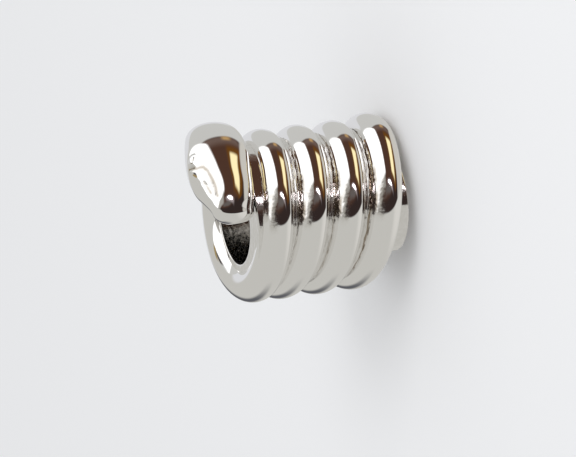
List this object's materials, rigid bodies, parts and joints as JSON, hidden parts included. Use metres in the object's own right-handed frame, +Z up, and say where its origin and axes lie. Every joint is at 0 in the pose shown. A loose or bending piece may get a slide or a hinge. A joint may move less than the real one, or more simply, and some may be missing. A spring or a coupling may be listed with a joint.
{
  "type": "european charm bead",
  "caption": "Cast metal charm bead for a bracelet: a round wire coiled left-handed round a large smooth bore, its end swelling into a small snake's head.",
  "frame": {"origin": "centre of the bore on the flat end that the bead stands on", "axes": "+Z up the bore axis from the tail end towards the head; +X towards the crown line where each turn of the coil starts; the bead stands on its tail end with +Z up"},
  "size_m": [0.0095, 0.0089, 0.0117],
  "materials": {
    "polished_silver": "cast silver with a bright rhodium plate, mirror polished on the crowns, rough as cast in the grooves"
  },
  "bodies": {
    "root": {"coiled_bead": "polished_silver"}
  },
  "joints": []
}
